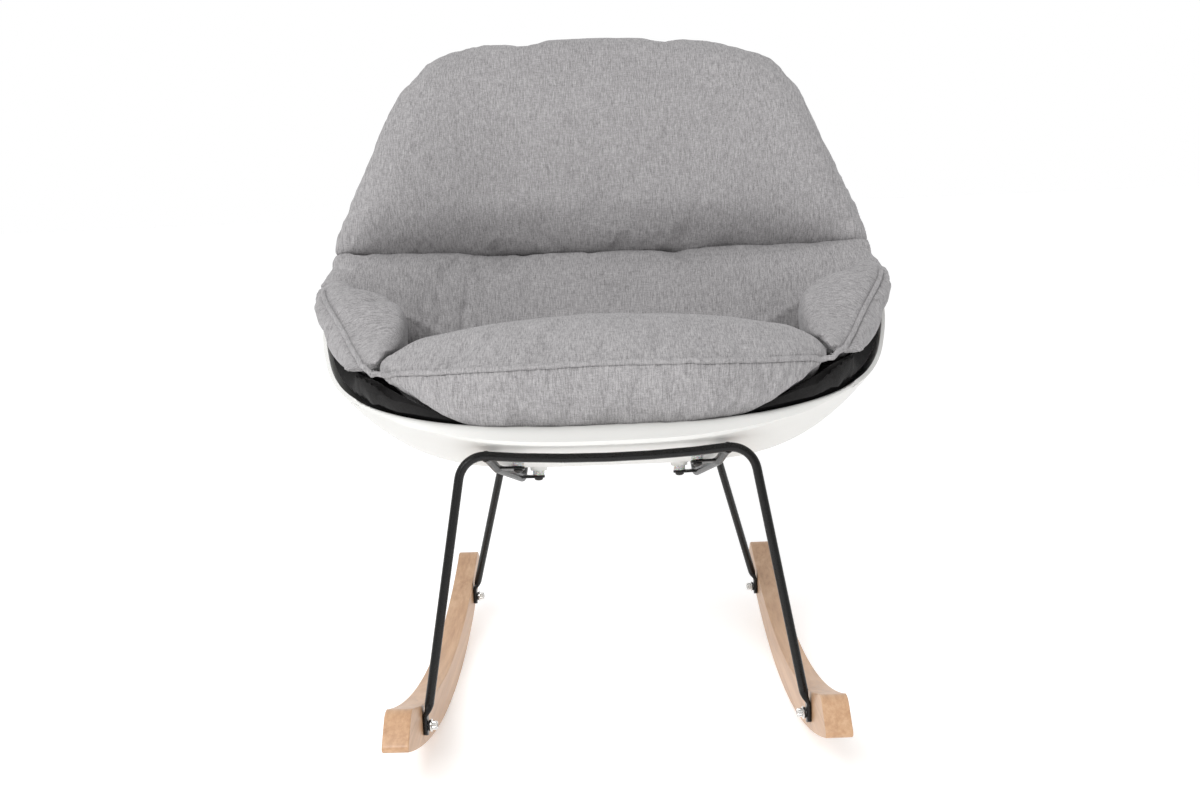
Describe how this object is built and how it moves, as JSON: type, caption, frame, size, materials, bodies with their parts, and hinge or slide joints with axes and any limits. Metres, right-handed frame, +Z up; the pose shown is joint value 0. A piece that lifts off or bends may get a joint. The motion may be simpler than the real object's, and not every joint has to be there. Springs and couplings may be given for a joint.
{
  "type": "rocking chair",
  "caption": "Rocking lounge chair: moulded scoop shell with a padded fabric insert, on a bent rod frame and curved wooden rockers.",
  "frame": {"origin": "on the floor, below the middle of the chair's bounding box", "axes": "+Z up; the sitter faces -Y; +X is the sitter's left"},
  "size_m": [0.7024, 0.7223, 0.8649],
  "materials": {
    "shell_plastic": "satin",
    "grey_fabric": "matte",
    "black_fabric": "matte",
    "black_frame": "satin",
    "beech": "satin",
    "bright_steel": "polished",
    "dark_steel": "satin",
    "brass": "satin",
    "spacer_plastic": "satin"
  },
  "bodies": {
    "root": {"arm_cushion_left": "grey_fabric", "arm_cushion_right": "grey_fabric", "arm_piping_left": "grey_fabric", "arm_piping_right": "grey_fabric", "back_cushion": "grey_fabric", "cushion_base": "black_fabric", "flat_washer_front_left": "bright_steel", "flat_washer_front_right": "bright_steel", "flat_washer_rear_left": "bright_steel", "flat_washer_rear_right": "bright_steel", "front_leg_hoop": "black_frame", "leg_bolt_front_left": "bright_steel", "leg_bolt_front_right": "bright_steel", "leg_bolt_rear_left": "bright_steel", "leg_bolt_rear_right": "bright_steel", "lumbar_cushion": "grey_fabric", "rear_leg_hoop": "black_frame", "rocker_insert_front_left": "brass", "rocker_insert_front_right": "brass", "rocker_insert_rear_left": "brass", "rocker_insert_rear_right": "brass", "rocker_left": "beech", "rocker_right": "beech", "seat_cushion": "grey_fabric", "seat_piping": "grey_fabric", "seat_screw_front_left": "dark_steel", "seat_screw_front_right": "dark_steel", "seat_screw_rear_left": "dark_steel", "seat_screw_rear_right": "dark_steel", "seat_shell": "shell_plastic", "seat_spacer_front_left": "spacer_plastic", "seat_spacer_front_right": "spacer_plastic", "seat_spacer_rear_left": "spacer_plastic", "seat_spacer_rear_right": "spacer_plastic", "seat_tab_front_left": "black_frame", "seat_tab_front_right": "black_frame", "seat_tab_rear_left": "black_frame", "seat_tab_rear_right": "black_frame", "shell_insert_front_left": "brass", "shell_insert_front_right": "brass", "shell_insert_rear_left": "brass", "shell_insert_rear_right": "brass", "side_rail_left": "black_frame", "side_rail_right": "black_frame", "spring_washer_front_left": "dark_steel", "spring_washer_front_right": "dark_steel", "spring_washer_rear_left": "dark_steel", "spring_washer_rear_right": "dark_steel"}
  },
  "joints": []
}
